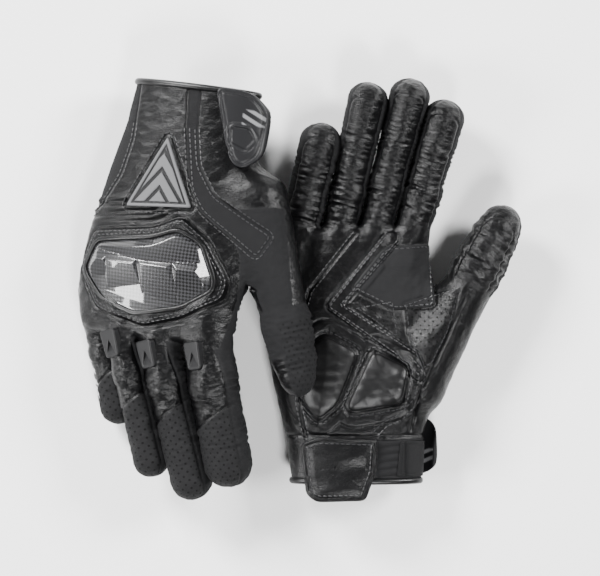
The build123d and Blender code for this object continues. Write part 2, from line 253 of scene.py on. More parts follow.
# %% Noise and outlines
def waves(x, y, z, pitch, seed, count=7):
    """A sum of plane waves near one pitch: a cheap, smooth, repeatable noise from -1 to 1."""
    random = np.random.RandomState(seed)
    total = 0
    for _ in range(count):
        way = random.normal(size=3)
        way *= 2 * math.pi / (pitch * random.uniform(0.7, 1.5) * np.linalg.norm(way))
        total = total + np.sin(way[0] * x + way[1] * y + way[2] * z + random.uniform(0, 6.28))
    return total / math.sqrt(count)


def line_distance(x, y, points, closed=False):
    points = list(points) + ([points[0]] if closed else [])
    best = np.full(np.broadcast(x, y).shape, 1e6)
    for (ax, ay), (bx, by) in zip(points, points[1:]):
        ex, ey = bx - ax, by - ay
        t = np.clip(((x - ax) * ex + (y - ay) * ey) / (ex * ex + ey * ey), 0, 1)
        best = np.minimum(best, np.hypot(x - ax - t * ex, y - ay - t * ey))
    return best


def outline_distance(x, y, points):
    """Signed distance to a closed outline, negative inside."""
    inside = np.zeros(np.broadcast(x, y).shape, bool)
    for (ax, ay), (bx, by) in zip(points, points[1:] + points[:1]):
        if ay != by:
            crossing = ((ay > y) != (by > y)) & (x < (bx - ax) * (y - ay) / (by - ay) + ax)
            inside ^= crossing
    distance = line_distance(x, y, points, True)
    return np.where(inside, -distance, distance)


def groove(distance, depth, width):
    return -depth * np.exp(-(distance / width) ** 2)


def rounded(points, radius=4.0):
    """Round an outline's corners: each becomes a short curve that starts a radius before it."""
    made = []
    for before, here, after in zip(points[-1:] + points[:-1], points, points[1:] + points[:1]):
        here = np.array(here, float)
        ends = []
        for other in (before, after):
            way = np.array(other, float) - here
            reach = min(radius, 0.42 * np.linalg.norm(way))
            ends.append(here + way / np.linalg.norm(way) * reach)
        for t in (0.0, 0.33, 0.67, 1.0):
            made.append(tuple((1 - t) ** 2 * ends[0] + 2 * t * (1 - t) * here + t * t * ends[1]))
    return made

print("corners of the strap", {glove: len(STRAPS[glove]) for glove in GLOVES})

# %% [markdown]
# ## From a field to a mesh
# OpenVDB turns a grid of distances into a closed quad mesh. Marching by hand or a Remesh modifier would do it
# too, but this keeps the exact field, and so the seams stay crisp. Each point also stores its place in the
# glove's own frame, so that grain and weave follow the glove when a finger bends.

# %% Meshing and placing
def polygonise(field, low, high, voxel):
    """Mesh the zero level of a field over a box, in hand-frame millimetres."""
    grids = [np.arange(low[i], high[i] + voxel, voxel, dtype=np.float64) for i in range(3)]
    x, y, z = grids[0][:, None, None], grids[1][None, :, None], grids[2][None, None, :]
    values = np.broadcast_to(field(x, y, z), tuple(len(g) for g in grids))
    volume = openvdb.FloatGrid(background=3.0)
    volume.copyFromArray(np.clip(values, -3, 3).astype(np.float32))
    points, quads = volume.convertToQuads(isovalue=0.0)
    return points * voxel + np.array(low), quads


def new_piece(glove, name, points, quads):
    """A mesh object in the row frame, with its hand-frame place kept as the pattern attribute."""
    matrix = GLOVES[glove][0]
    world = (points @ matrix[:3, :3].T + matrix[:3, 3]) * MM
    mesh = bpy.data.meshes.new(f"{glove}_{name}")
    mesh.from_pydata(world.tolist(), [], quads.tolist())
    mesh.polygons.foreach_set("use_smooth", np.ones(len(mesh.polygons), bool))
    set_vectors(mesh, "pattern", points)
    piece = bpy.data.objects.new(f"{glove}_{name}", mesh)
    bpy.context.collection.objects.link(piece)
    return piece


def set_vectors(mesh, name, values):
    attribute = mesh.attributes.new(name, "FLOAT_VECTOR", "POINT")
    attribute.data.foreach_set("vector", np.asarray(values, np.float32).ravel())


def set_mask(mesh, name, values):
    attribute = mesh.attributes.new(name, "FLOAT", "POINT")
    attribute.data.foreach_set("value", np.clip(values, 0, 1).astype(np.float32))


def get_pattern(mesh):
    values = np.zeros(len(mesh.vertices) * 3, np.float32)
    mesh.attributes["pattern"].data.foreach_get("vector", values)
    return values.reshape(-1, 3).astype(float)


def cut(piece, glove, point, way):
    """Cut a piece by a plane given in the hand frame and keep the side the way points to."""
    matrix = GLOVES[glove][0]
    place = (matrix[:3, :3] @ np.array(point, float) + matrix[:3, 3]) * MM
    normal = matrix[:3, :3] @ np.array(way, float)
    work = bmesh.new()
    work.from_mesh(piece.data)
    geometry = work.verts[:] + work.edges[:] + work.faces[:]
    bmesh.ops.bisect_plane(work, geom=geometry, plane_co=place, plane_no=normal, clear_inner=True, dist=1e-7)
    work.to_mesh(piece.data)
    work.free()


def keep_faces(piece, keep):
    """Delete the faces whose middle, in the hand frame, fails a test."""
    pattern = get_pattern(piece.data)
    work = bmesh.new()
    work.from_mesh(piece.data)
    drop = [f for f in work.faces if not keep(pattern[[v.index for v in f.verts]].mean(0))]
    bmesh.ops.delete(work, geom=drop, context="FACES")
    work.to_mesh(piece.data)
    work.free()

# %% [markdown]
# ## Materials
# The grain and the cloth weave are node groups, so every leather and fabric shares one effect with its
# own values. Patterns follow the hand-frame place of each point, in millimetres, not the world.

# %% Shader groups
def group_of(name, inputs, outputs):
    group = bpy.data.node_groups.new(name, "ShaderNodeTree")
    for label, kind, value in inputs:
        socket = group.interface.new_socket(name=label, in_out="INPUT", socket_type=kind)
        if value is not None:
            socket.default_value = value
    for label, kind in outputs:
        group.interface.new_socket(name=label, in_out="OUTPUT", socket_type=kind)
    return group, group.nodes.new("NodeGroupInput"), group.nodes.new("NodeGroupOutput")


def math_node(tree, operation, a, b=None, c=None):
    node = tree.nodes.new("ShaderNodeMath")
    node.operation = operation
    for slot, value in enumerate((a, b, c)):
        if value is None:
            continue
        if isinstance(value, (int, float)):
            node.inputs[slot].default_value = value
        else:
            tree.links.new(value, node.inputs[slot])
    return node.outputs[0]


def grain_group():
    """Leather grain: pebbles from cells, long folds from noise, and a tone that follows the fold noise."""
    group, given, made = group_of("leather_grain", [
        ("Place", "NodeSocketVector", None), ("Pebble", "NodeSocketFloat", 0.9),
        ("Fold", "NodeSocketFloat", 0.12)], [("Height", "NodeSocketFloat"), ("Tone", "NodeSocketFloat")])
    cells = group.nodes.new("ShaderNodeTexVoronoi")
    cells.feature = "DISTANCE_TO_EDGE"
    noise = group.nodes.new("ShaderNodeTexNoise")
    noise.inputs["Detail"].default_value = 5
    noise.inputs["Distortion"].default_value = 0.8
    fine = group.nodes.new("ShaderNodeTexNoise")
    fine.inputs["Detail"].default_value = 7
    fine.inputs["Roughness"].default_value = 0.62
    fine.inputs["Distortion"].default_value = 1.2
    links = group.links
    for node in (cells, noise, fine):
        links.new(given.outputs["Place"], node.inputs["Vector"])
    links.new(given.outputs["Pebble"], cells.inputs["Scale"])
    links.new(given.outputs["Fold"], noise.inputs["Scale"])
    fine.inputs["Scale"].default_value = 0.42
    pebble = math_node(group, "MINIMUM", cells.outputs["Distance"], 0.22)
    folded = math_node(group, "ABSOLUTE", math_node(group, "SUBTRACT", noise.outputs["Fac"], 0.5))
    height = math_node(group, "MULTIPLY_ADD", pebble, 2.2, math_node(group, "MULTIPLY", folded, 1.2))
    crease = math_node(group, "ABSOLUTE", math_node(group, "SUBTRACT", fine.outputs["Fac"], 0.5))
    height = math_node(group, "MULTIPLY_ADD", math_node(group, "MINIMUM", crease, 0.12), 2.4, height)
    links.new(height, made.inputs["Height"])
    links.new(noise.outputs["Fac"], made.inputs["Tone"])
    return group


def weave_group():
    """Cloth weave: two crossing sets of threads."""
    group, given, made = group_of("cloth_weave", [
        ("Place", "NodeSocketVector", None), ("Threads", "NodeSocketFloat", 5.0)],
        [("Height", "NodeSocketFloat")])
    heights = []
    for turn in (0.0, 90.0):
        mapping = group.nodes.new("ShaderNodeMapping")
        mapping.inputs["Rotation"].default_value = (0, 0, math.radians(turn))
        wave = group.nodes.new("ShaderNodeTexWave")
        wave.bands_direction = "X"
        wave.inputs["Distortion"].default_value = 0.4
        group.links.new(given.outputs["Place"], mapping.inputs["Vector"])
        group.links.new(mapping.outputs[0], wave.inputs["Vector"])
        group.links.new(given.outputs["Threads"], wave.inputs["Scale"])
        heights.append(wave.outputs["Fac"])
    group.links.new(math_node(group, "MAXIMUM", heights[0], heights[1]), made.inputs["Height"])
    return group


GRAIN, WEAVE = grain_group(), weave_group()

print("shader groups", GRAIN.name, WEAVE.name)

# %% [markdown]
# ## Small helpers for materials
# Each material is a Principled shader. These helpers place a group, mix two values by a mask, and add a bump.

# %% Material helpers
def new_material(name, colour, rough, coat=0.0, coat_rough=0.2, sheen=0.0, specular=0.5):
    material = bpy.data.materials.new(name)
    material.use_nodes = True
    material.diffuse_color = (*colour, 1)
    tree = material.node_tree
    shader = tree.nodes["Principled BSDF"]
    shader.inputs["Base Color"].default_value = (*colour, 1)
    shader.inputs["Roughness"].default_value = rough
    shader.inputs["Coat Weight"].default_value = coat
    shader.inputs["Coat Roughness"].default_value = coat_rough
    shader.inputs["Sheen Weight"].default_value = sheen
    shader.inputs["Specular IOR Level"].default_value = specular
    return material, tree, shader


def place_node(tree):
    node = tree.nodes.new("ShaderNodeAttribute")
    node.attribute_name = "pattern"
    return node.outputs["Vector"]


def mask_node(tree, name):
    node = tree.nodes.new("ShaderNodeAttribute")
    node.attribute_name = name
    return node.outputs["Fac"]


def use_group(tree, group, place, **values):
    node = tree.nodes.new("ShaderNodeGroup")
    node.node_tree = group
    tree.links.new(place, node.inputs["Place"])
    for label, value in values.items():
        node.inputs[label].default_value = value
    return node


def bump(tree, shader, height, distance, strength=1.0):
    node = tree.nodes.new("ShaderNodeBump")
    node.inputs["Distance"].default_value = distance * MM
    node.inputs["Strength"].default_value = strength
    tree.links.new(height, node.inputs["Height"])
    tree.links.new(node.outputs[0], shader.inputs["Normal"])


def mix_colour(tree, factor, a, b):
    node = tree.nodes.new("ShaderNodeMix")
    node.data_type = "RGBA"
    tree.links.new(factor, node.inputs[0])
    for socket, value in ((node.inputs[6], a), (node.inputs[7], b)):
        if isinstance(value, tuple):
            socket.default_value = (*value, 1)
        else:
            tree.links.new(value, socket)
    return node.outputs[2]


def mix_value(tree, factor, a, b):
    """a where the mask is 0 and b where it is 1."""
    part = math_node(tree, "SUBTRACT", b, a)
    return math_node(tree, "MULTIPLY_ADD", factor, part, a)


# %% [markdown]
# ## The skin of the glove
# Leather, stretch cloth, suede and punched leather meet along seams on one closed skin. One material mixes them
# by vertex masks. Separate meshes would need matching edges along every seam and would open when a finger bends.

# %% The glove skin: leather, stretch cloth, suede, punched leather and print on one surface
def skin_material():
    material, tree, shader = new_material("glove_skin", (0.012, 0.012, 0.013), 0.34, specular=0.55)
    place = place_node(tree)
    leather = use_group(tree, GRAIN, place, Pebble=0.85, Fold=0.16)
    cloth = use_group(tree, WEAVE, place, Threads=2.6)
    nap = tree.nodes.new("ShaderNodeTexNoise")
    nap.inputs["Scale"].default_value = 1.8
    nap.inputs["Detail"].default_value = 6
    tree.links.new(place, nap.inputs["Vector"])
    cloth_mask, nap_mask = mask_node(tree, "cloth"), mask_node(tree, "nap")
    print_mask = mask_node(tree, "print")
    punch = tree.nodes.new("ShaderNodeAttribute")
    punch.attribute_name = "punch"
    parts = tree.nodes.new("ShaderNodeSeparateXYZ")
    tree.links.new(punch.outputs["Vector"], parts.inputs[0])
    grid = tree.nodes.new("ShaderNodeTexVoronoi")
    grid.voronoi_dimensions = "2D"
    grid.inputs["Scale"].default_value = 1.0
    grid.inputs["Randomness"].default_value = 0.0
    tree.links.new(punch.outputs["Vector"], grid.inputs["Vector"])
    punched_hole_shade_mask = math_node(tree, "MULTIPLY", math_node(tree, "LESS_THAN", grid.outputs["Distance"], 0.17),
                          math_node(tree, "GREATER_THAN", parts.outputs[2], 0.5))
    shade = tree.nodes.new("ShaderNodeMapRange")
    shade.inputs[3].default_value, shade.inputs[4].default_value = 0.6, 1.5
    tree.links.new(leather.outputs["Tone"], shade.inputs[0])
    hide = tree.nodes.new("ShaderNodeVectorMath")
    hide.operation = "SCALE"
    hide.inputs[0].default_value = (0.0017, 0.0017, 0.0019)
    tree.links.new(shade.outputs[0], hide.inputs["Scale"])
    colour = mix_colour(tree, cloth_mask, hide.outputs[0], (0.0052, 0.0052, 0.0057))
    colour = mix_colour(tree, nap_mask, colour, (0.0045, 0.0045, 0.005))
    colour = mix_colour(tree, print_mask, colour, (0.42, 0.42, 0.43))
    # Each punched hole is painted near-black, darker than the lining behind it: painted shade inside the hole.
    colour = mix_colour(tree, punched_hole_shade_mask, colour, (0.0002, 0.0002, 0.0002))
    tree.links.new(colour, shader.inputs["Base Color"])
    rough = mix_value(tree, cloth_mask, 0.31, 0.85)
    rough = mix_value(tree, nap_mask, rough, 0.78)
    rough = mix_value(tree, punched_hole_shade_mask, rough, 0.95)
    rough = math_node(tree, "MULTIPLY_ADD", leather.outputs["Tone"], 0.16, math_node(tree, "SUBTRACT", rough, 0.08))
    tree.links.new(rough, shader.inputs["Roughness"])
    height = mix_value(tree, cloth_mask, leather.outputs["Height"], math_node(
        tree, "MULTIPLY", cloth.outputs["Height"], 0.5))
    height = mix_value(tree, nap_mask, height, math_node(tree, "MULTIPLY", nap.outputs["Fac"], 0.9))
    stretch = tree.nodes.new("ShaderNodeMapping")
    stretch.inputs["Scale"].default_value = (0.22, 1.0, 0.22)
    tree.links.new(place, stretch.inputs["Vector"])
    crinkle = tree.nodes.new("ShaderNodeTexNoise")
    crinkle.inputs["Scale"].default_value = 0.42
    crinkle.inputs["Detail"].default_value = 6
    crinkle.inputs["Distortion"].default_value = 0.6
    tree.links.new(stretch.outputs[0], crinkle.inputs["Vector"])
    folds = math_node(tree, "ABSOLUTE", math_node(tree, "SUBTRACT", crinkle.outputs["Fac"], 0.5))
    folds = math_node(tree, "MULTIPLY", math_node(tree, "MINIMUM", folds, 0.14), mask_node(tree, "crinkle"))
    height = math_node(tree, "MULTIPLY_ADD", folds, 9.0, height)
    bump(tree, shader, height, 0.17, 0.6)
    shader.inputs["Specular IOR Level"].default_value = 0.19
    return material


def carbon_material():
    """Woven carbon look under a clear coat: light and dark bands of tows that cross on the diagonal. The weave is real;
    the light bands are a painted sheen of the tows and are also glossier.
    """
    material, tree, shader = new_material("carbon_shell", (0.02, 0.02, 0.022), 0.32, 0.6, 0.03, specular=0.25)
    place = place_node(tree)
    mapping = tree.nodes.new("ShaderNodeMapping")
    mapping.inputs["Rotation"].default_value = (0, 0, math.radians(45))
    mapping.inputs["Scale"].default_value = (1, 1, 0)
    tree.links.new(place, mapping.inputs["Vector"])
    tow_sheen_checker = tree.nodes.new("ShaderNodeTexChecker")
    tow_sheen_checker.inputs["Scale"].default_value = 0.72
    tree.links.new(mapping.outputs[0], tow_sheen_checker.inputs["Vector"])
    cloth = use_group(tree, WEAVE, mapping.outputs[0], Threads=1.1)
    # Dark and light tows: a real weave pattern whose light-and-dark contrast is painted sheen.
    tone = mix_colour(tree, tow_sheen_checker.outputs["Fac"], (0.0006, 0.0006, 0.0007), (0.03, 0.03, 0.032))
    tree.links.new(tone, shader.inputs["Base Color"])
    tree.links.new(mix_value(tree, tow_sheen_checker.outputs["Fac"], 0.42, 0.26), shader.inputs["Roughness"])
    bump(tree, shader, cloth.outputs["Height"], 0.02, 0.5)
    return material


def plain_material(name, colour, rough, pebble=2.5, depth=0.05, specular=0.4):
    material, tree, shader = new_material(name, colour, rough, specular=specular)
    grain = use_group(tree, GRAIN, place_node(tree), Pebble=pebble, Fold=0.3)
    lighter = tuple(min(1.0, 1.35 * c) for c in colour)
    tree.links.new(mix_colour(tree, grain.outputs["Tone"], tuple(0.7 * c for c in colour), lighter),
                   shader.inputs["Base Color"])
    tree.links.new(mix_value(tree, grain.outputs["Tone"], rough - 0.07, rough + 0.07), shader.inputs["Roughness"])
    bump(tree, shader, grain.outputs["Height"], depth, 0.7)
    return material


def cloth_material(name, colour, threads, depth):
    material, tree, shader = new_material(name, colour, 0.8, sheen=0.03)
    cloth = use_group(tree, WEAVE, place_node(tree), Threads=threads)
    shader.inputs["Specular IOR Level"].default_value = 0.15
    # The colour follows the weave's height: thread tops are painted lighter and the gaps between threads darker,
    # painted light and shade of the weave.
    tree.links.new(mix_colour(tree, cloth.outputs["Height"], tuple(0.5 * c for c in colour),
                              tuple(1.3 * c for c in colour)), shader.inputs["Base Color"])
    bump(tree, shader, cloth.outputs["Height"], depth, 0.8)
    return material


def badge_material(name, ground, printed):
    """Rubber with a satin print where the print mask says."""
    material, tree, shader = new_material(name, ground, 0.42, specular=0.22)
    colour = mix_colour(tree, mask_node(tree, "print"), ground, printed)
    tree.links.new(colour, shader.inputs["Base Color"])
    grain = use_group(tree, GRAIN, place_node(tree), Pebble=3.0, Fold=0.3)
    bump(tree, shader, grain.outputs["Height"], 0.02, 0.6)
    return material


MATERIALS = {
    "skin": skin_material(),
    "carbon": carbon_material(),
    "moulded": plain_material("moulded_rubber", (0.0055, 0.0055, 0.006), 0.45, 3.0, 0.02, specular=0.22),
    "pad": plain_material("pad_leather", (0.0018, 0.0018, 0.002), 0.40, 1.3, 0.06, specular=0.3),
    "leather": plain_material("piping_leather", (0.0016, 0.0016, 0.0018), 0.34, 1.2, 0.05, specular=0.3),
    "thread": plain_material("sewing_thread", (0.012, 0.012, 0.013), 0.36, 4.0, 0.02),
    "elastic": cloth_material("ribbed_elastic", (0.004, 0.004, 0.0045), 1.6, 0.25),
    "lining": cloth_material("lining", (0.007, 0.007, 0.0077), 2.2, 0.2),
    "badge": badge_material("badge", (0.004, 0.004, 0.0045), (0.085, 0.085, 0.088)),
    "strap": badge_material("strap_rubber", (0.007, 0.007, 0.0078), (0.13, 0.13, 0.135)),
}


def dress(piece, material, slot, body, *nodes):
    """Give a finished piece its material and body, and hide the CAD nodes it stands for. The slot is not used."""
    piece.data.materials.append(MATERIALS[material])
    if nodes:
        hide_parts(*nodes)
    if body:
        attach(piece, body)
    return piece

print("materials", sorted(MATERIALS))

# %% [markdown]
# ## The hand's skin
# Back and palm are one surface. Seams are grooves, padded channels are ridges and the leather has folds
# where a hand bends it. The height of each is drawn on the flat pattern and added to the field.

# %% Relief of the back and the palm
def wide_wrinkles(x, y, z, seed):
    folds = 1 - np.abs(waves(x * 0.8, y * 1.4, z, 15, seed))
    small = 1 - np.abs(waves(x, y, z, 6, seed + 5))
    return 0.22 * folds + 0.13 * small


def back_relief(x, y):
    bezel = outline_distance(x, y, rounded(BEZEL))
    guard = outline_distance(x, y, rounded(GUARD))
    relief = 1.5 * step(1.0, -1.6, bezel) * step(-4.5, 3.0, guard)
    relief = relief + groove(bezel - 0.6, 0.9, 0.8)
    pleats = step(22, 17, bezel) * step(0.5, 3, bezel) * step(-8, 4, x) * step(62, 52, y) * step(26, 34, y)
    relief = relief + 0.85 * pleats * np.cos(bezel * 2 * math.pi / 6.0)
    badge = outline_distance(x, y, rounded(BADGE, 1.5))
    relief = relief + groove(badge - 2.2, 0.8, 0.7)
    for strip in (RADIAL_STRIP, ULNAR_STRIP):
        edge = outline_distance(x, y, rounded(strip))
        relief = relief - 0.5 * step(0.8, -0.8, edge) + groove(edge, 0.5, 0.6)
    knuckle_line = line_distance(x, y, [(-38, 97), (-16, 109), (7, 117), (40, 110)])
    return relief + groove(knuckle_line, 0.5, 0.9)


def palm_relief(x, y):
    strip = line_distance(x, y, PALM_STRIP)
    relief = 0.9 * step(4.4, 3.2, strip) + groove(strip - 4.6, 0.8, 0.7)
    relief = relief + 0.9 * step(2.6, 1.2, line_distance(x, y, PALM_BAR))
    web = outline_distance(x, y, rounded(WEB_PATCH))
    relief = relief + 0.5 * step(0.4, -0.6, web) + groove(web - 0.4, 0.6, 0.6)
    for seam in (PALM_SEAM, THUMB_SEAM):
        relief = relief + groove(line_distance(x, y, seam), 1.0, 0.9)
    relief = relief + groove(outline_distance(x, y, THUMB_PERFORATED), 0.5, 0.7)
    frame_edge = np.minimum(outline_distance(x, y, rounded(HEEL_OUTER)), outline_distance(x, y, rounded(HEEL_THUMB)))
    relief = relief + 0.5 * step(8.5, 7.0, frame_edge) + groove(frame_edge - 8.8, 0.5, 0.7)
    relief = relief + groove(frame_edge - 1.0, 1.3, 1.3)
    return relief + groove(y - 2.5, 0.9, 0.8)


SEEDS = {"under": 3, "over": 11}
REACHES = {"under": dict.fromkeys(FINGERS, 4.5) | {"thumb": 13.0},
           "over": dict.fromkeys(FINGERS, 4.5) | {"thumb": 13.0, "little": 9.0}}  # how widely a digit's root blends


def side_weight(z):
    return step(-1.5, 1.5, z)


def hand_skin(glove):
    digits = {name: digit_of(glove, name) for name in GLOVES[glove][1]}
    seed = SEEDS[glove]

    def field(x, y, z):
        value = hand_field(x, y, z)
        for name, d in digits.items():
            value = smooth_min(value, digit_field(name, d, x, y, z)[0], REACHES[glove][name])
        flat_x, flat_y = x[:, :, 0], y[:, :, 0]
        back, palm = back_relief(flat_x, flat_y), palm_relief(flat_x, flat_y)
        weight = side_weight(z)
        relief = back[:, :, None] * weight + palm[:, :, None] * (1 - weight)
        quiet = step(4, -2, outline_distance(flat_x, flat_y, GUARD))[:, :, None] * weight
        strips = np.minimum(outline_distance(flat_x, flat_y, RADIAL_STRIP),
                            outline_distance(flat_x, flat_y, ULNAR_STRIP))[:, :, None]
        calm = np.maximum(quiet, weight * step(2, -2, strips))
        thumb_side, thumb_parts = digit_field("thumb", digits["thumb"], x, y, z)
        near_cut = step(6, 2, thumb_side) * step(THUMB_CUT - 9, THUMB_CUT - 1, thumb_parts[2])
        relief = relief * (1 - near_cut) * step(FINGER_CUT, FINGER_CUT - 6, y)
        return value - relief - wide_wrinkles(x, y, z, seed) * (1 - 0.85 * calm)

    points, quads = polygonise(field, (-87, -3, -26), (64, 134, 24), HAND_VOXEL)
    piece = new_piece(glove, "hand_skin", points, quads)
    cut(piece, glove, (0, 0, 0), (0, 1, 0))
    cut_digits(piece, glove, digits, None)
    pattern = get_pattern(piece.data)
    masks(piece.data, pattern, back=pattern[:, 2] > 0)
    nodes = [f"{glove}_{n}" for n in ("palm_panel", "back_panel", "radial_stretch_strip",
                                      "ulnar_stretch_strip", "palm_reinforcement")]
    return dress(piece, "skin", "leather", f"{glove}_hand", *nodes)


def cut_digits(piece, glove, digits, keep):
    """Part the hand's skin from the digits': keep None for the hand, or one digit's name."""
    thumb = digits["thumb"]
    frame_of_thumb = digit_axes(thumb)
    origin, way = frame_of_thumb[:3, 3], frame_of_thumb[:3, 2]
    point = origin + way * THUMB_CUT
    if keep is None:
        cut(piece, glove, (0, FINGER_CUT, 0), (0, -1, 0))
    elif keep in FINGERS:
        cut(piece, glove, (0, FINGER_CUT, 0), (0, 1, 0))
    matrix = GLOVES[glove][0]
    work = bmesh.new()
    work.from_mesh(piece.data)
    if keep in (None, "thumb"):
        geometry = work.verts[:] + work.edges[:] + work.faces[:]
        bmesh.ops.bisect_plane(work, geom=geometry, plane_co=(matrix[:3, :3] @ point + matrix[:3, 3]) * MM,
                               plane_no=matrix[:3, :3] @ way, dist=1e-7)
        inverse = np.linalg.inv(matrix)

        def on_thumb(face):
            place = inverse[:3, :3] @ (np.array(face.calc_center_median()) / MM) + inverse[:3, 3]
            x, y, s = to_local(frame_of_thumb, *place)
            return s > THUMB_CUT and math.hypot(x, y) < 22.5

        drop = [f for f in work.faces if on_thumb(f) == (keep is None)]
        bmesh.ops.delete(work, geom=drop, context="FACES")
    work.to_mesh(piece.data)
    work.free()


def punched(u, v, pitch, where):
    """Coordinates of a staggered hole pattern, with its extent as the third value."""
    return np.stack([(u + v) * 0.7071 / pitch, (u - v) * 0.7071 / pitch, np.broadcast_to(where, u.shape)], 1)


def masks(mesh, pattern, back, holes=None, cloth=None, bars=None):
    """Where the skin is cloth, napped, printed or punched."""
    x, y = pattern[:, 0], pattern[:, 1]
    if cloth is None:
        strips = np.minimum(outline_distance(x, y, rounded(RADIAL_STRIP)),
                            outline_distance(x, y, rounded(ULNAR_STRIP)))
        web = outline_distance(x, y, rounded(THUMB_BACK, 8))
        cloth = np.where(back, step(0.3, -0.3, np.minimum(strips, web)), 0)
    nap = np.zeros(len(x))
    if holes is None:
        web = outline_distance(x, y, rounded(WEB_PATCH))
        nap = np.where(back, 0, step(0.4, -0.4, web))
        inside = np.maximum(step(-2, -2.5, outline_distance(x, y, PERFORATED)),
                            step(-2, -2.5, outline_distance(x, y, THUMB_PERFORATED)))
        behind = np.maximum(step(-1.5, -2, outline_distance(x, y, BACK_PERFORATED)),
                            step(-1.5, -2, outline_distance(x, y, BACK_PERFORATED_LOW)))
        holes = punched(x, y, np.where(back, 1.9, 3.3), np.where(back, behind, inside))
    set_mask(mesh, "cloth", cloth)
    set_mask(mesh, "nap", nap)
    set_vectors(mesh, "punch", holes)
    set_mask(mesh, "print", np.zeros(len(x)) if bars is None else bars)
    if "crinkle" not in mesh.attributes:
        set_mask(mesh, "crinkle", np.where(back, 0.15, 0.3))


# %% [markdown]
# ## The digits' skins
# A finger bends, so its skin is a piece of its own that starts at the hand and is blended across the
# knuckle. Creases run round the joint, a seam runs down each side and the end panel is punched.

# %% Digit skins
def digit_relief(name, d, parts, seed):
    """Creases at the two joints, the side seams that meet in an arch, and the slanted back seam."""
    bx, by, bs, tx, ty, ts = parts
    s = np.where(bs < d["base"], bs, ts)
    palm = step(-3, 3, np.where(bs < d["base"], by, ty))
    around = np.arctan2(tx, -ty)
    phi = np.arctan2(tx, ty) * d["wide"]
    folds = 1 - np.abs(waves(phi * 0.22, s, 0 * s, 4.6, seed, 9))
    small = 1 - np.abs(waves(phi * 0.35, s, 0 * s, 2.6, seed + 1, 9))
    joints = np.exp(-((s - d["base"] + 3) / 13.0) ** 2) + 0.8 * np.exp(-((s - d["base"] - 0.46 * d["tip"]) / 8.0) ** 2)
    relief = (0.25 + joints) * (0.35 + 0.45 * palm) * folds + (0.12 + 0.25 * joints * palm) * small
    half = 0.78 * d["wide"]
    top = d["base"] + d["tip"] - 7 - half
    arch = np.where(ts > top, np.hypot(phi, (ts - top) * 1.1), np.abs(phi)) - half
    relief = relief + palm * (0.5 * step(0.6, -0.8, arch) + groove(arch - 0.5, 0.6, 0.7))
    if name != "thumb":
        slant = ts - d["base"] - 15 - 0.55 * tx
        relief = relief + groove(slant, 0.8, 0.8) * (1 - palm)
        side = (np.abs(around) - 1.25) * d["wide"]
        relief = relief + groove(side, 0.6, 0.7) * (1 - palm)
        ridge = step(0.75, 0.25, np.abs(around)) * step(d["base"] + 6, d["base"] + 1, s)
        relief = relief + 0.9 * ridge * (1 - palm)
    else:
        edge = np.abs(phi + 3 - 0.1 * ts) - 0.9
        relief = relief + 0.8 * step(0.5, -0.5, edge) * (1 - palm)
    return relief


def parts_from_cut(name, y, parts):
    """How far, in a share of 6 mm, a point is past the cut between the hand's skin and the digit's."""
    return (parts[2] - THUMB_CUT) / 6 if name == "thumb" else (y - FINGER_CUT) / 6 + 0 * parts[2]


def digit_skin(glove, name):
    d = digit_of(glove, name)
    seed = sum(map(ord, glove + name)) % 97
    hand_seed = SEEDS[glove]

    def field(x, y, z):
        own, parts = digit_field(name, d, x, y, z)
        value = smooth_min(hand_field(x, y, z), own, REACHES[glove][name])
        relief = digit_relief(name, d, parts, seed) * step(6, 0, own) * step(0, 1, parts_from_cut(name, y, parts))
        return value - relief - wide_wrinkles(x, y, z, hand_seed)

    tip_frame = bent_axes(name, d)
    end = tip_frame[:3, 3] + tip_frame[:3, 2] * (d["base"] + d["tip"])
    root_frame = digit_axes(d)
    start_at = THUMB_CUT - 2 if name == "thumb" else 0
    start = root_frame[:3, 3] + root_frame[:3, 2] * start_at
    margin = d["wide"] + (7 if name == "thumb" else 5)
    low = np.minimum(start, end) - margin
    high = np.maximum(start, end) + margin
    if name != "thumb":
        low[1] = FINGER_CUT - 2
    points, quads = polygonise(field, tuple(low), tuple(high), VOXEL)
    piece = new_piece(glove, f"{name}_skin", points, quads)
    if name == "thumb":
        cut(piece, glove, root_frame[:3, 3] + root_frame[:3, 2] * THUMB_CUT, root_frame[:3, 2])
    else:
        cut(piece, glove, (0, FINGER_CUT, 0), (0, 1, 0))
    near = 22.5 if name == "thumb" else max(d["wide"], d["deep"]) + 6

    def belongs(place):
        x, y, s = to_local(root_frame, *place)
        tx, ty, ts = to_local(tip_frame, *place)
        return min(math.hypot(x, y) if s < d["base"] + 8 else 1e3, math.hypot(tx, ty) if ts > d["base"] - 8 else 1e3) < near

    keep_faces(piece, belongs)
    pattern = get_pattern(piece.data)
    dress_digit(piece, glove, name, d, pattern)
    return piece


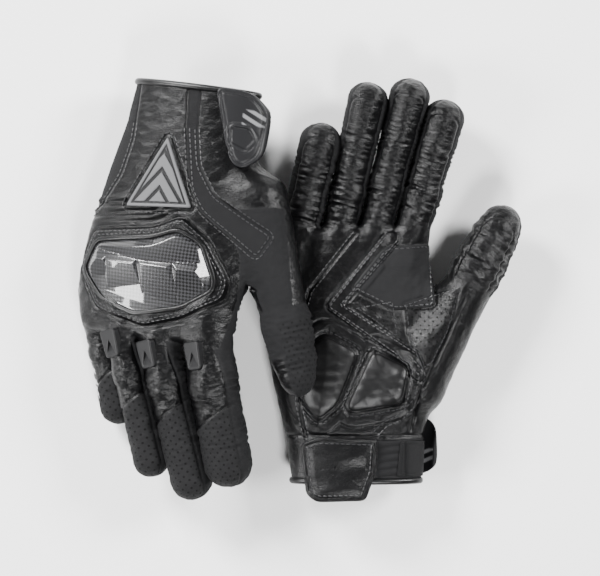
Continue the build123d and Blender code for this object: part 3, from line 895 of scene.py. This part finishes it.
def dress_digit(piece, glove, name, d, pattern):
    tx, ty, ts = digit_field(name, d, *pattern.T)[1][3:]
    angle = np.arctan2(tx, -ty)
    around = angle * d["wide"]
    dorsal = np.abs(angle) < 1.25
    side = (np.abs(angle) >= 1.25) & (np.abs(angle) < math.pi - 0.8)
    slant = ts - d["base"] - 15 - 0.55 * tx
    if name == "thumb":
        eye = np.hypot((angle + 0.2) / 0.55, (ts - 62) / 17.0) - 1
        holes = punched(around, ts, 3.6, (np.abs(angle) < 1.9) * (tx < 0) * step(60, 66, ts))
        cloth = np.where(np.abs(angle) < 2.0, 1.0, 0.0) * step(1.0, -1.0, tx - 2 + 0 * eye)
        cloth = np.maximum(cloth, step(84, 80, ts) * np.where(np.abs(angle) < 2.0, 1.0, 0.0))
    else:
        panel = dorsal & (slant > 1.5)
        holes = punched(around, ts, 3.4, panel * 1.0)
        cloth = np.where(panel, 0.85, 0.0)
        cloth = np.where(side, 0.9, cloth)
    bars = None
    if name == "little":
        stripe = np.mod(ts + 0.6 * around, 7.0) / 7.0
        band = step(1.0, 0.8, np.abs(around - d["wide"] * 0.62) / 2.4)
        bars = band * step(0.12, 0.2, stripe) * step(0.66, 0.58, stripe) * step(2, 4, ts) * step(46, 44, ts)
    crinkle = np.where(np.abs(angle) > math.pi - 0.8, 1.0, 0.35) * step(-30, 0, ts - 10)
    set_mask(piece.data, "crinkle", crinkle)
    masks(piece.data, pattern, dorsal, holes, cloth, bars)
    set_vectors_again(piece.data, np.stack([tx, ts, ty], 1))
    dress(piece, "skin", "leather", None, f"{glove}_{name}_base", f"{glove}_{name}_tip")
    blend_digit(piece, glove, name)


def set_vectors_again(mesh, values):
    mesh.attributes["pattern"].data.foreach_set("vector", np.asarray(values, np.float32).ravel())


def blend_digit(piece, glove, name):
    """Bake the object transform of a piece that lies along a digit into its mesh."""
    d = digit_of(glove, name)
    matrix = GLOVES[glove][0]
    root, tip = digit_axes(d), bent_axes(name, d)
    reach = 12 if name == "thumb" else 11
    start = root[:3, 3] + root[:3, 2] * (d["base"] - reach)
    end = tip[:3, 3] + tip[:3, 2] * (d["base"] + reach)
    start, end = [(matrix[:3, :3] @ p + matrix[:3, 3]) * MM for p in (start, end)]
    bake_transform(piece)


# %% [markdown]
# ## Pads, guard, badge and strap
# These sit on the back and the palm. Each is a layer of the hand's own field, cut by its outline, so that it
# follows the curve under it with an even gap. A flat plate bent with modifiers would float or dig in.

# %% Sewn and moulded pieces that lie on the hand
def lay_on(glove, name, outline, on_back, low, high, edge, relief=None, grow=0.0, voxel=None,
           corner=4.0, z_from=0.0, spread=1.0, with_thumb=False):
    """A piece that lies on the hand between two heights, with a rounded edge and its own relief.
    A spread under 1 makes a stiff piece stand off the side of the wrist instead of following it."""
    xs, ys = [p[0] for p in outline], [p[1] for p in outline]

    def field(x, y, z):
        flat_x, flat_y = x[:, :, 0], y[:, :, 0]
        distance = outline_distance(flat_x, flat_y, rounded(outline, corner)) - grow
        top = high + 0 * distance
        if relief is not None:
            top = top + relief(flat_x, flat_y, distance)
        skin = hand_field(np.where(x < -24, -24 + (x + 24) * spread, x), y, z)
        if with_thumb:
            thumb = digit_field("thumb", digit_of(glove, "thumb"), x, y, z)[0]
            skin = smooth_min(skin, thumb, REACHES[glove]["thumb"])
        body = smooth_max(skin - top[:, :, None], low - skin, 0.3)
        body = smooth_max(body, distance[:, :, None] + 0 * z, edge)
        return np.maximum(body, (z_from - z) if on_back else (z + z_from))

    lower = (min(xs) - 3, min(ys) - 3, -1 if on_back else -26)
    upper = (max(xs) + 3, max(ys) + 3, 30 if on_back else 1)
    points, quads = polygonise(field, lower, upper, voxel or FINE)
    return new_piece(glove, name, points, quads)


def add_pads(glove):
    body = f"{glove}_hand"
    for name, outline in (("heel_pad_outer", HEEL_OUTER), ("heel_pad_thumb", HEEL_THUMB)):
        pad = lay_on(glove, f"soft_{name}", outline, False, -0.6, 0.8, 1.6, grow=-0.6, corner=5.0, with_thumb=True,
                     relief=lambda x, y, d: 2.6 * (1 - np.exp(d / 4.0)) + 0.12 * waves(x, y, 0 * x, 5, 4))
        dress(pad, "pad", "suede", body, f"{glove}_{name}")
    badge = lay_on(glove, "badge", BADGE, True, -0.5, 1.3, 0.5, corner=1.5, voxel=0.4, relief=badge_relief)
    pattern = get_pattern(badge.data)
    x, y = pattern[:, 0], pattern[:, 1]
    raised = badge_relief(x, y, outline_distance(x, y, rounded(BADGE, 1.5)))
    set_mask(badge.data, "print", step(0.25, 0.45, raised))
    dress(badge, "badge", "moulded_rubber", body, f"{glove}_back_badge")


def badge_relief(x, y, distance):
    """A raised rim, and plain chevrons that point to the wrist inside it."""
    chevron = np.abs(np.mod(y - 1.25 * np.abs(x - 7.5) - 4.0, 10.5) - 5.25)
    return 0.8 * np.maximum(step(-1.9, -1.5, distance), step(3.9, 3.4, chevron) * step(-2.6, -3.0, distance))


def guard_facets(x, y, d):
    """A smooth dome towards the wrist, then a row of cut facets that slope to the fingers."""
    u, v = x - 8, y - 80
    dome = 3.6 - 3.6 * (u / 46) ** 2 - 2.2 * (np.minimum(v, 0) / 20) ** 2
    teeth = 0 * u
    for middle, reach, fall in ((-25, 9.5, 0.34), (-5, 11, 0.24), (16, 11, 0.28), (33, 9, 0.38)):
        side = np.abs(u - middle + 0.25 * v) - reach + 0.28 * np.maximum(v, 0)
        teeth = np.maximum(teeth, np.minimum(4.6 - fall * np.maximum(v, 0), 3.0 - 0.55 * side))
    low = 3.4 - 0.16 * v - 0.03 * np.abs(u)
    lower = np.where(v > -2 - 0.12 * np.abs(u), np.maximum(np.minimum(teeth, 4.8 + 0.5 * v), np.minimum(low, 3.2)), dome)
    return np.minimum(lower, -0.75 * d - 0.4)


def add_guard(glove):
    body = f"{glove}_hand"
    guard = lay_on(glove, "guard_shell", GUARD, True, 0.2, 1.6, 0.5, relief=guard_facets, z_from=-0.5,
                   voxel=FINE * 0.7)
    dress(guard, "carbon", "carbon_shell", body, f"{glove}_knuckle_guard")
    ring = lay_on(glove, "bezel", GUARD, True, 0.0, 2.6, 0.5, grow=2.2,
                  relief=lambda x, y, d: -2.8 * step(-2.0, -3.6, d), z_from=-0.5)
    dress(ring, "leather", "leather", body, f"{glove}_guard_bezel", f"{glove}_knuckle_pad")


def add_strap(glove):
    def emboss(x, y, d):
        lines = np.abs(d + 2.6)
        panel = line_distance(x, y, [(-20, -20), (-25, -2), (-22, 2), (-31, 12)])
        recess = outline_distance(x, y, rounded([(-29, -4), (-30, 5), (-38, 8), (-42, 2), (-38, -4)], 2))
        return groove(lines, 0.6, 0.5) + groove(panel, 0.9, 0.6) - 0.9 * step(0.4, -0.4, recess) \
            + groove(recess - 2.0, 0.5, 0.5)

    tab = lay_on(glove, "strap", STRAPS[glove], True, 1.2, 3.2, 0.9, relief=emboss, z_from=1.0, spread=0.74,
                 corner=5.0)
    pattern = get_pattern(tab.data)
    slant = np.mod(pattern[:, 1] + 0.5 * pattern[:, 0], 5.0)
    bars = step(0.6, 1.0, slant) * step(3.2, 2.8, slant) * step(-14.5, -14.0, pattern[:, 1]) \
        * step(-5.5, -6.0, pattern[:, 1]) * step(-34, -34.5, pattern[:, 0]) * step(-46, -45.5, pattern[:, 0])
    set_mask(tab.data, "print", bars * (pattern[:, 2] > 2))
    dress(tab, "strap", "moulded_rubber", f"{glove}_strap", f"{glove}_strap_tab")
    anchor = lay_on(glove, "anchor", ANCHOR, False, -0.4, 1.3, 0.5, corner=1.5,
                    relief=lambda x, y, d: groove(np.abs(d + 1.6), 0.35, 0.5) + groove(x + 29, 0.9, 0.8))
    dress(anchor, "elastic", "stretch_fabric", f"{glove}_hand", f"{glove}_strap_anchor")
    pull = lay_on(glove, "leather_tab", PULL_TABS[glove], False, 0.6, 2.4, 0.6, corner=3.0,
                  relief=lambda x, y, d: groove(np.abs(d + 2.4), 0.5, 0.5) + 0.35 * waves(x, y, 0 * x, 13, 9)
                  + 0.5 * step(-3, -7, d))
    pattern = get_pattern(pull.data)
    masks(pull.data, pattern, np.zeros(len(pattern), bool), holes=np.zeros((len(pattern), 3)),
          cloth=np.zeros(len(pattern)))
    dress(pull, "skin", "leather", f"{glove}_hand", f"{glove}_pull_tab")
    border = offset_run(rounded(PULL_TABS[glove], 3.0), 3.6, True)
    sew(glove, "tab_stitches", [lay_run(bvh_of(pull), glove, border, False, True)], f"{glove}_hand")


# %% [markdown]
# ## Cuff and binding
# The cuff is an oval tube with ribs, and its mouth is bound with a rolled leather edge. Both are swept round the
# same ovals as the hand's last section, so they meet it without a step.

# %% Cuff and binding
def add_cuff(glove):
    """Leather round the wrist with a shirred elastic part on the thumb side of the palm, and the binding."""
    def elastic_part(x, z):
        return step(-11, -13.5, x) * step(3, 0, z)

    def cuff(x, y, z):
        skin = hand_field(x, y, z)
        gathers = 0.75 * np.abs(np.cos((y + 0.12 * x) * math.pi / 4.2)) - 0.2
        folds = wide_wrinkles(x, y, z, SEEDS[glove])
        strips = np.minimum(outline_distance(x, y, RADIAL_STRIP), outline_distance(x, y, ULNAR_STRIP))
        seams = (groove(strips, 0.6, 0.6) - 0.4 * step(0.6, -0.6, strips)) * step(-1, 1, z)
        height = np.where(elastic_part(x, z) > 0.5, gathers, folds + seams)
        wall = smooth_max(skin + 0.1 - height, -(skin + 1.9), 0.3)
        return smooth_max(smooth_max(wall, -22.4 - y, 0.4), y - 1.0, 0.4)

    def binding(x, y, z):
        skin = hand_field(x, y, z)
        return np.hypot((skin + 0.3) / 1.7, (y + 23.6) / 1.9) * 1.7 - 1.7

    for name, field, node in (("cuff", cuff, "wrist_cuff"), ("binding", binding, "cuff_binding")):
        points, quads = polygonise(field, (-44, -28, -19), (43, 4, 19), FINE)
        piece = new_piece(glove, name, points, quads)
        if name == "binding":
            dress(piece, "leather", "binding", f"{glove}_hand", f"{glove}_{node}")
            continue
        masks(piece.data, points, points[:, 2] > 0)
        soft = elastic_part(points[:, 0], points[:, 2])
        cloth = np.zeros(len(points), np.float32)
        piece.data.attributes["cloth"].data.foreach_get("value", cloth)
        piece.data.attributes["cloth"].data.foreach_set("value", np.maximum(cloth, soft).astype(np.float32))
        dress(piece, "skin", "elastic", f"{glove}_hand", f"{glove}_{node}")


# %% [markdown]
# ## Finger sliders
# Three hard plastic wedges stand on the first finger joints. Each is a small rounded block with a sloping top,
# placed across its finger.

# %% Finger sliders
def add_sliders(glove):
    for name in ("index", "middle", "ring"):
        d = digit_of(glove, name)
        frame_of = digit_axes(d)
        middle = d["base"] - 17

        def field(x, y, z, d=d, frame_of=frame_of, middle=middle):
            lx, ly, ls = to_local(frame_of, x, y, z)
            turn = d["roll"]
            lx, ly = lx * math.cos(turn) + ly * math.sin(turn), ly * math.cos(turn) - lx * math.sin(turn)
            far = ls - middle
            side = np.abs(lx) - 5.2 + 0.05 * far
            box = smooth_max(smooth_max(side, np.abs(far) - 8.0, 2.0), -ly - d["deep"] - 3.2 + 0.08 * far, 0.8)
            box = smooth_max(box, ly + d["deep"] - 1.8, 0.4)
            scoop = np.maximum(np.abs(lx) - 0.42 * (far + 2.0), np.maximum(-2.0 - far, far - 6.4))
            floor = d["deep"] + 0.6 + 0.25 * (far + 2.0)
            return smooth_max(box, -np.maximum(scoop, floor + ly), 0.25)

        centre = frame_of[:3, 3] + frame_of[:3, 2] * middle - frame_of[:3, 1] * d["deep"]
        points, quads = polygonise(field, tuple(centre - 13), tuple(centre + 13), FINE * 0.8)
        piece = new_piece(glove, f"{name}_knuckle_slider", points, quads)
        dress(piece, "moulded", "moulded_rubber", f"{glove}_hand", f"{glove}_{name}_slider")


# %% [markdown]
# ## Stitches
# A seam's thread shows as short, slightly sunk stitches. Each run is a polyline laid on the finished
# skin, and a Geometry Nodes tree puts one capsule on it for each pitch.

# %% Stitch tree
def stitch_tree():
    tree = bpy.data.node_groups.new("stitch_row", "GeometryNodeTree")
    tree.interface.new_socket(name="Geometry", in_out="INPUT", socket_type="NodeSocketGeometry")
    for label, value in (("Pitch", 3.0 * MM), ("Length", 2.2 * MM), ("Thickness", 0.62 * MM)):
        tree.interface.new_socket(name=label, in_out="INPUT", socket_type="NodeSocketFloat").default_value = value
    tree.interface.new_socket(name="Material", in_out="INPUT", socket_type="NodeSocketMaterial")
    tree.interface.new_socket(name="Geometry", in_out="OUTPUT", socket_type="NodeSocketGeometry")
    given, made = tree.nodes.new("NodeGroupInput"), tree.nodes.new("NodeGroupOutput")
    curve = tree.nodes.new("GeometryNodeMeshToCurve")
    points = tree.nodes.new("GeometryNodeCurveToPoints")
    points.mode = "LENGTH"
    ball = tree.nodes.new("GeometryNodeMeshUVSphere")
    ball.inputs["Segments"].default_value = 8
    ball.inputs["Rings"].default_value = 6
    ball.inputs["Radius"].default_value = 0.5
    scale = tree.nodes.new("ShaderNodeCombineXYZ")
    instance = tree.nodes.new("GeometryNodeInstanceOnPoints")
    realize = tree.nodes.new("GeometryNodeRealizeInstances")
    paint = tree.nodes.new("GeometryNodeSetMaterial")
    link = tree.links.new
    link(given.outputs["Geometry"], curve.inputs[0])
    link(curve.outputs[0], points.inputs["Curve"])
    link(given.outputs["Pitch"], points.inputs["Length"])
    link(points.outputs["Points"], instance.inputs["Points"])
    link(ball.outputs["Mesh"], instance.inputs["Instance"])
    link(points.outputs["Rotation"], instance.inputs["Rotation"])
    link(given.outputs["Thickness"], scale.inputs[0])
    link(given.outputs["Thickness"], scale.inputs[1])
    link(given.outputs["Length"], scale.inputs[2])
    link(scale.outputs[0], instance.inputs["Scale"])
    link(instance.outputs[0], realize.inputs[0])
    link(realize.outputs[0], paint.inputs[0])
    link(given.outputs["Material"], paint.inputs["Material"])
    link(paint.outputs[0], made.inputs[0])
    return tree


STITCH_TREE = stitch_tree()


def run_tree(piece, tree, **values):
    """Apply a Geometry Nodes tree to a piece and leave a plain mesh."""
    modifier = piece.modifiers.new("nodes", "NODES")
    modifier.node_group = tree
    for item in tree.interface.items_tree:
        if item.in_out == "INPUT" and item.name in values:
            modifier[item.identifier] = values[item.name]
    evaluated = piece.evaluated_get(bpy.context.evaluated_depsgraph_get())
    mesh = bpy.data.meshes.new_from_object(evaluated)
    piece.modifiers.clear()
    piece.data = mesh


def offset_run(points, gap, closed):
    """A run beside another one, at an even gap to its left."""
    points = [np.array(p, float) for p in points]
    count = len(points)
    made = []
    for i in range(count):
        before = points[i - 1] if closed or i else points[i]
        after = points[(i + 1) % count] if closed or i < count - 1 else points[i]
        way = after - before
        way /= np.linalg.norm(way)
        made.append(tuple(points[i] + gap * np.array([-way[1], way[0]])))
    return made


def lay_run(tree_of_skin, glove, points, on_back, closed=False):
    """Project a flat run onto a skin; returns points in the row frame, in metres."""
    matrix = GLOVES[glove][0]
    points = [np.array(p, float) for p in points] + ([np.array(points[0], float)] if closed else [])
    placed = []
    sign = 1 if on_back else -1
    for a, b in zip(points, points[1:]):
        steps = max(1, int(np.linalg.norm(b - a) / 1.5))
        for t in range(steps):
            x, y = a + (b - a) * t / steps
            start = (matrix[:3, :3] @ np.array([x, y, 45 * sign]) + matrix[:3, 3]) * MM
            way = matrix[:3, :3] @ np.array([0, 0, -sign])
            hit, normal, _, _ = tree_of_skin.ray_cast(Vector(start), Vector(way))
            if hit is not None and (hit - Vector(start)).length < 45 * MM:
                placed.append(hit + normal * 0.08 * MM)
    return placed


def sew(glove, name, runs, body):
    """One piece of stitches from several runs of placed points."""
    points, edges = [], []
    for run in runs:
        first = len(points)
        points += [tuple(p) for p in run]
        for i in range(first, len(points) - 1):
            if (Vector(points[i]) - Vector(points[i + 1])).length < 4 * MM:
                edges.append((i, i + 1))
    mesh = bpy.data.meshes.new(name)
    mesh.from_pydata(points, edges, [])
    piece = bpy.data.objects.new(f"{glove}_{name}", mesh)
    bpy.context.collection.objects.link(piece)
    run_tree(piece, STITCH_TREE, Pitch=3.0 * MM, Length=2.3 * MM, Thickness=0.7 * MM,
             Material=MATERIALS["thread"])
    set_vectors(piece.data, "pattern", np.array([v.co for v in piece.data.vertices]) / MM)
    if body:
        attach(piece, body)
    return piece


def bvh_of(*pieces):
    work = bmesh.new()
    for piece in pieces:
        work.from_mesh(piece.data)
    tree = BVHTree.FromBMesh(work)
    work.free()
    return tree


def add_stitches(glove, skin):
    tree = bvh_of(skin)
    back = []
    bezel = rounded(BEZEL)
    for gap in (1.2, 3.0):
        back.append(lay_run(tree, glove, offset_run(bezel, -gap, True), True, True))
    badge = rounded(BADGE, 1.5)
    back.append(lay_run(tree, glove, offset_run(badge, -3.4, True), True, True))
    for strip in (RADIAL_STRIP, ULNAR_STRIP):
        for gap in (-1.4, 1.4):
            back.append(lay_run(tree, glove, offset_run(rounded(strip), gap, True), True, True))
    sew(glove, "back_stitches", back, f"{glove}_hand")
    palm = []
    for gap in (4.6, -4.6, 3.2, -3.2):
        palm.append(lay_run(tree, glove, offset_run(PALM_STRIP, gap, False), False))
    for run in (PALM_SEAM, HEEL_BORDER):
        for gap in (-1.6, 1.6):
            palm.append(lay_run(tree, glove, offset_run(run, gap, False), False))
    palm.append(lay_run(tree, glove, offset_run(rounded(WEB_PATCH), 1.6, True), False, True))
    for outline in (PERFORATED, THUMB_PERFORATED):
        palm.append(lay_run(tree, glove, offset_run(outline, 1.6, True), False, True))
    for outline in (HEEL_OUTER, HEEL_THUMB):
        palm.append(lay_run(tree, glove, offset_run(rounded(outline), -2.2, True), False, True))
    sew(glove, "palm_stitches", palm, f"{glove}_hand")


# %% [markdown]
# ## Build both gloves
# Both gloves use the same pattern. Only their digits, strap and place in the frame differ, so one loop makes them.
# The CAD lining stays in the scene and gets a woven material.

# %% Build both gloves
for glove in GLOVES:
    skin = hand_skin(glove)
    print(glove, "hand skin", len(skin.data.vertices))
    for name in GLOVES[glove][1]:
        piece = digit_skin(glove, name)
        print(glove, name, len(piece.data.vertices))
    add_pads(glove)
    add_guard(glove)
    add_strap(glove)
    add_cuff(glove)
    add_sliders(glove)
    add_stitches(glove, skin)
    for node in (f"{glove}_hand_liner",):
        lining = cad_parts[node]
        lining.data.materials.clear()
        lining.data.materials.append(MATERIALS["lining"])

# %% [markdown]
# ## Floor, light and camera
# A pale floor, a dim white world and four soft area lights around the gloves show the black leather by its reflections.
# The camera looks straight down with a long lens.

# %% Stage
bpy.ops.mesh.primitive_plane_add(size=6, location=(0, 0, 0))
floor = bpy.context.object
floor.name = "floor"
floor_material, _, _ = new_material("pale_floor", (0.86, 0.86, 0.86), 0.9)
floor.data.materials.append(floor_material)

world = bpy.data.worlds.new("studio")
world.use_nodes = True
world.node_tree.nodes["Background"].inputs[0].default_value = (1, 1, 1, 1)
world.node_tree.nodes["Background"].inputs[1].default_value = 0.12
bpy.context.scene.world = world

LIGHTS = (("key", (-0.95, 1.0, 0.95), 0.5, 76.0), ("fill", (1.1, 0.5, 0.85), 0.4, 42.0),
          ("low", (0.25, -0.85, 1.15), 0.3, 24.0), ("side", (-1.2, -0.3, 0.8), 0.4, 30.0))
for label, place, size, power in LIGHTS:
    light = bpy.data.lights.new(label, "AREA")
    light.size, light.energy = size, power
    lamp = bpy.data.objects.new(label, light)
    lamp.location = place
    lamp.rotation_euler = (-Vector(place)).to_track_quat("-Z", "Y").to_euler()
    bpy.context.collection.objects.link(lamp)

camera_data = bpy.data.cameras.new("camera")
camera_data.sensor_width = 36
CAMERA_HEIGHT = 1.6
VIEW_WIDTH = 0.342
camera_data.lens = 36 * (CAMERA_HEIGHT - 0.03) / VIEW_WIDTH
camera = bpy.data.objects.new("camera", camera_data)
camera.location = (0.00043, 0.00119, CAMERA_HEIGHT)
bpy.context.collection.objects.link(camera)
bpy.context.scene.camera = camera

print("lights", [label for label, *_ in LIGHTS], "lens in mm", round(camera_data.lens))
